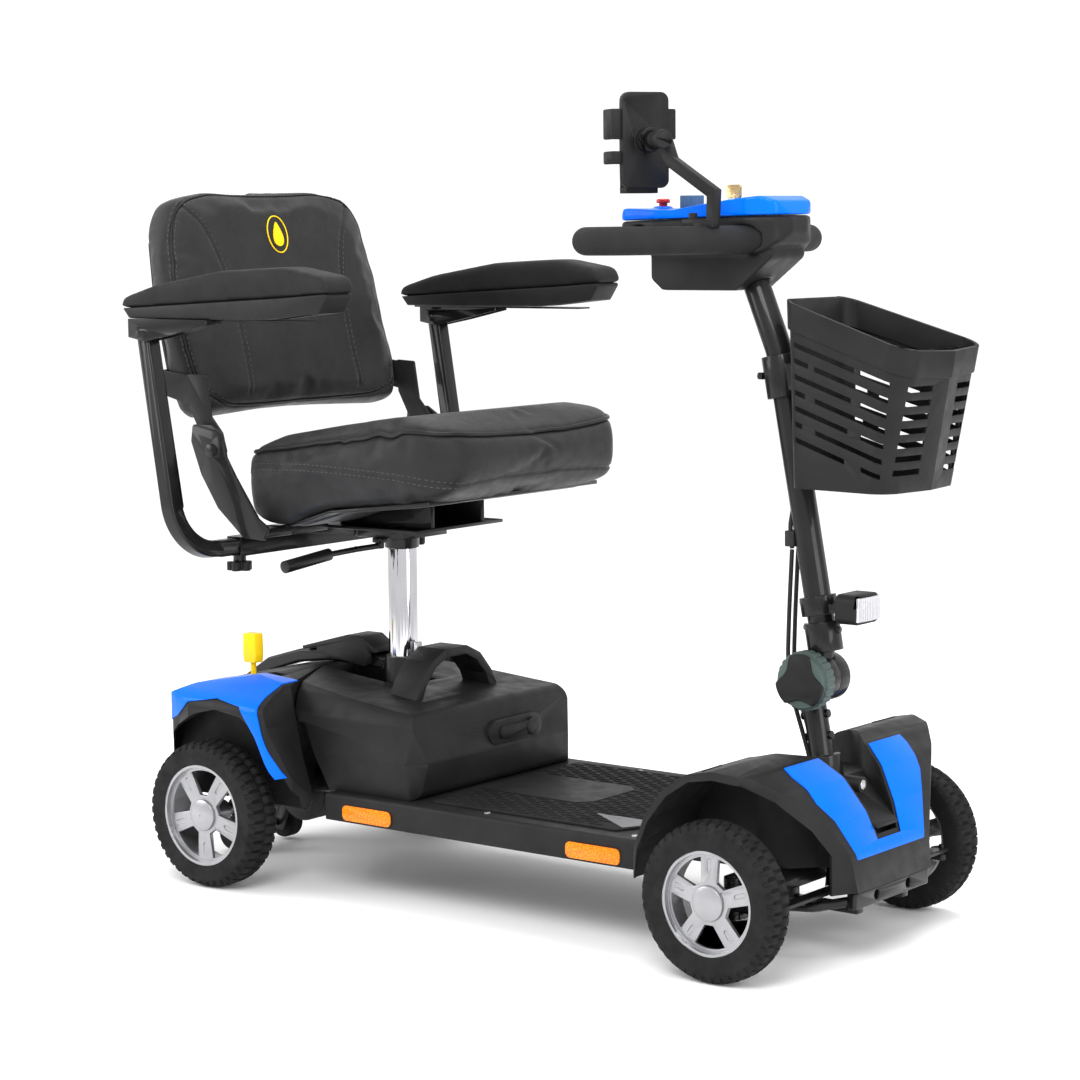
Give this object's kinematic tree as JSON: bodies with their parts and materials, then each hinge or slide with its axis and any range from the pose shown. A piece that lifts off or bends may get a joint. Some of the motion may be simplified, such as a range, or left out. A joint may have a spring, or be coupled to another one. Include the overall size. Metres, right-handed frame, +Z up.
{
  "type": "four-wheel electric travel mobility scooter",
  "caption": "Electric travel mobility scooter with a swivel seat, flip-up armrests, folding steering tiller, lift-off basket, phone holder and lift-out battery pack.",
  "frame": {"origin": "on the floor under the middle of the scooter's bounding box", "axes": "+X forward, +Y to the rider's left, +Z up"},
  "size_m": [1.3298, 0.716, 1.194],
  "materials": {
    "tyre_rubber": "matt black rubber",
    "rim_silver": "silver paint",
    "frame_black": "satin black powder coat",
    "deck_black": "fine grained black plastic",
    "mat_rubber": "textured rubber mat",
    "amber_reflector": "amber reflector",
    "trim_blue": "gloss bright blue",
    "cover_black": "fine grained black plastic",
    "motor_black": "black cast housing",
    "lever_yellow": "yellow plastic",
    "post_chrome": "bright chrome",
    "seat_leather": "black grained upholstery",
    "pad_foam": "black padded skin",
    "handle_foam": "soft black grip",
    "zinc_screw": "zinc plated steel",
    "cable_black": "black cable sheath",
    "knob_grey": "grey ribbed plastic",
    "lamp_clear": "clear ribbed lens in a black housing",
    "dial_blue_grey": "blue grey plastic",
    "key_brass": "brass",
    "horn_red": "red plastic",
    "cell_case": "dark battery case"
  },
  "bodies": {
    "frame": {"main_frame": "frame_black", "deck_tray": "deck_black", "floor_mat": "mat_rubber", "side_reflectors": "amber_reflector", "rear_cover": "cover_black", "trim_panels": "trim_blue", "rear_handle": "frame_black", "transaxle": "motor_black", "front_cover": "cover_black", "front_bumper": "frame_black", "fasteners": "zinc_screw"},
    "latch": {"latch_lever": "cover_black"},
    "freewheel": {"freewheel_lever": "lever_yellow"},
    "battery": {"battery_lid": "cover_black", "battery_tub": "cover_black", "battery_cells": "cell_case"},
    "port_cover": {"charge_port_cover": "cover_black"},
    "post": {"seat_post": "post_chrome"},
    "seat": {"seat_frame": "frame_black", "seat_shell": "frame_black", "seat_cushion": "seat_leather"},
    "backrest": {"back_cushion": "seat_leather", "back_shell": "cover_black"},
    "arm_left": {"arm_tube_left": "frame_black"},
    "arm_right": {"arm_tube_right": "frame_black"},
    "pad_left": {"arm_pad_left": "pad_foam"},
    "pad_right": {"arm_pad_right": "pad_foam"},
    "lock_left": {"arm_knob_left": "cover_black"},
    "lock_right": {"arm_knob_right": "cover_black"},
    "swivel_handle": {"swivel_lever": "frame_black"},
    "stem": {"steering_stem": "frame_black", "lower_cables": "cable_black"},
    "tiller": {"tiller_tube": "frame_black", "tiller_clamp": "frame_black", "head_base": "cover_black", "head_cover": "trim_blue", "handle_loop": "handle_foam", "upper_cables": "cable_black", "phone_arm": "cover_black"},
    "fold_knob": {"hinge_knob": "knob_grey"},
    "lamp": {"headlight": "lamp_clear"},
    "basket": {"basket": "cover_black"},
    "dial": {"speed_dial": "dial_blue_grey"},
    "key": {"ignition_key": "key_brass"},
    "horn": {"horn_button": "horn_red"},
    "throttle": {"throttle_lever": "cover_black"},
    "cradle": {"phone_cradle": "cover_black"},
    "jaw": {"phone_jaw": "cover_black"},
    "steer_left": {"knuckle_left": "frame_black"},
    "steer_right": {"knuckle_right": "frame_black"},
    "track_rod": {"tie_rod": "frame_black"},
    "wheel_front_left": {"front_tyre_left": "tyre_rubber", "front_rim_left": "rim_silver"},
    "wheel_front_right": {"front_tyre_right": "tyre_rubber", "front_rim_right": "rim_silver"},
    "wheel_rear_left": {"rear_tyre_left": "tyre_rubber", "rear_rim_left": "rim_silver"},
    "wheel_rear_right": {"rear_tyre_right": "tyre_rubber", "rear_rim_right": "rim_silver"},
    "anti_tip": {"anti_tip_wheels": "tyre_rubber"}
  },
  "joints": [
    {"name": "tiller_steer", "type": "hinge", "parent": "frame", "child": "stem", "pos_m": [0.4515, 0, 0.285], "axis": [-0.1805, 0, 0.9836], "range_deg": [-32, 32]},
    {"name": "knuckle_left_steer", "type": "hinge", "parent": "frame", "child": "steer_left", "pos_m": [0.4445, 0.212, 0.1107], "axis": [0, 0, 1], "range_deg": [-16, 16]},
    {"name": "knuckle_right_steer", "type": "hinge", "parent": "frame", "child": "steer_right", "pos_m": [0.4445, -0.212, 0.1107], "axis": [0, 0, 1], "range_deg": [-16, 16]},
    {"name": "tie_rod_slide", "type": "slide", "parent": "frame", "child": "track_rod", "axis": [0, 1, 0], "range_m": [-0.0216, 0.0216]},
    {"name": "tiller_fold", "type": "hinge", "parent": "stem", "child": "tiller", "pos_m": [0.4515, 0, 0.381], "axis": [0, 1, 0], "range_deg": [-25, 10], "deforming": ["lower_cables"]},
    {"name": "fold_knob_turn", "type": "hinge", "parent": "stem", "child": "fold_knob", "pos_m": [0.4515, -0.04, 0.381], "axis": [0, 1, 0], "continuous": true},
    {"name": "wheel_front_left_spin", "type": "hinge", "parent": "steer_left", "child": "wheel_front_left", "pos_m": [0.4445, 0.253, 0.1107], "axis": [0, 1, 0], "continuous": true},
    {"name": "wheel_front_right_spin", "type": "hinge", "parent": "steer_right", "child": "wheel_front_right", "pos_m": [0.4445, -0.253, 0.1107], "axis": [0, 1, 0], "continuous": true},
    {"name": "wheel_rear_left_spin", "type": "hinge", "parent": "frame", "child": "wheel_rear_left", "pos_m": [-0.4985, 0.246, 0.114], "axis": [0, 1, 0], "continuous": true},
    {"name": "wheel_rear_right_spin", "type": "hinge", "parent": "frame", "child": "wheel_rear_right", "pos_m": [-0.4985, -0.246, 0.114], "axis": [0, 1, 0], "continuous": true},
    {"name": "anti_tip_spin", "type": "hinge", "parent": "frame", "child": "anti_tip", "pos_m": [-0.6335, 0, 0.032], "axis": [0, 1, 0], "continuous": true},
    {"name": "seat_height", "type": "slide", "parent": "frame", "child": "post", "axis": [0, 0, 1], "range_m": [0, 0.05]},
    {"name": "seat_swivel", "type": "hinge", "parent": "post", "child": "seat", "pos_m": [-0.317, 0, 0.535], "axis": [0, 0, 1], "range_deg": [0, 360]},
    {"name": "backrest_fold", "type": "hinge", "parent": "seat", "child": "backrest", "pos_m": [-0.4755, 0, 0.678], "axis": [0, 1, 0], "range_deg": [0, 70]},
    {"name": "arm_left_slide", "type": "slide", "parent": "seat", "child": "arm_left", "axis": [0, 1, 0], "range_m": [0, 0.03]},
    {"name": "arm_right_slide", "type": "slide", "parent": "seat", "child": "arm_right", "axis": [0, -1, 0], "range_m": [0, 0.03]},
    {"name": "pad_left_flip", "type": "hinge", "parent": "arm_left", "child": "pad_left", "pos_m": [-0.5225, 0.337, 0.86], "axis": [0, -1, 0], "range_deg": [0, 90]},
    {"name": "pad_right_flip", "type": "hinge", "parent": "arm_right", "child": "pad_right", "pos_m": [-0.5225, -0.337, 0.86], "axis": [0, -1, 0], "range_deg": [0, 90]},
    {"name": "lock_left_turn", "type": "hinge", "parent": "seat", "child": "lock_left", "pos_m": [-0.4685, 0.206, 0.497], "axis": [0, 0, 1], "continuous": true},
    {"name": "lock_right_turn", "type": "hinge", "parent": "seat", "child": "lock_right", "pos_m": [-0.4685, -0.206, 0.497], "axis": [0, 0, 1], "continuous": true},
    {"name": "swivel_handle_pull", "type": "hinge", "parent": "seat", "child": "swivel_handle", "pos_m": [-0.3125, -0.058, 0.524], "axis": [0, 0, 1], "range_deg": [-10, 0], "stiffness_Nm_per_rad": 1},
    {"name": "freewheel_throw", "type": "hinge", "parent": "frame", "child": "freewheel", "pos_m": [-0.4985, -0.15, 0.18], "axis": [0, 1, 0], "range_deg": [0, 12]},
    {"name": "frame_latch_lift", "type": "hinge", "parent": "frame", "child": "latch", "pos_m": [-0.3725, 0, 0.334], "axis": [0, 1, 0], "range_deg": [0, 16], "stiffness_Nm_per_rad": 1.5, "springref_deg": -11.46},
    {"name": "battery_lift", "type": "slide", "parent": "frame", "child": "battery", "axis": [0, 0, 1], "range_m": [0, 0.1]},
    {"name": "port_cover_pull", "type": "slide", "parent": "battery", "child": "port_cover", "axis": [1, 0, 0], "range_m": [0, 0.012]},
    {"name": "basket_lift", "type": "slide", "parent": "tiller", "child": "basket", "axis": [0, 0, 1], "range_m": [0, 0.06]},
    {"name": "headlight_tilt", "type": "hinge", "parent": "tiller", "child": "lamp", "pos_m": [0.4865, 0, 0.48], "axis": [0, 1, 0], "range_deg": [-15, 15]},
    {"name": "speed_dial_turn", "type": "hinge", "parent": "tiller", "child": "dial", "pos_m": [0.2365, 0, 1.04], "axis": [0, 0, 1], "range_deg": [0, 270]},
    {"name": "key_turn", "type": "hinge", "parent": "tiller", "child": "key", "pos_m": [0.3085, 0, 1.05], "axis": [0, 0, 1], "range_deg": [0, 90]},
    {"name": "horn_press", "type": "slide", "parent": "tiller", "child": "horn", "axis": [0, 0, -1], "range_m": [0, 0.0025], "stiffness_N_per_m": 300},
    {"name": "throttle_swing", "type": "hinge", "parent": "tiller", "child": "throttle", "pos_m": [0.2865, 0, 0.983], "axis": [0, 0, 1], "range_deg": [-12, 12], "stiffness_Nm_per_rad": 0.3},
    {"name": "cradle_tilt", "type": "hinge", "parent": "tiller", "child": "cradle", "pos_m": [0.2585, -0.125, 1.128], "axis": [0.5, 0.866, 0], "range_deg": [-12, 12]},
    {"name": "jaw_slide", "type": "slide", "parent": "cradle", "child": "jaw", "axis": [0, 0, -1], "range_m": [0, 0.015]}
  ],
  "couplings": [
    {"joint": "knuckle_left_steer", "follows": "tiller_steer", "ratio": 0.5},
    {"joint": "knuckle_right_steer", "follows": "tiller_steer", "ratio": 0.5},
    {"joint": "tie_rod_slide", "follows": "tiller_steer", "m_per_rad": 0.0385}
  ]
}
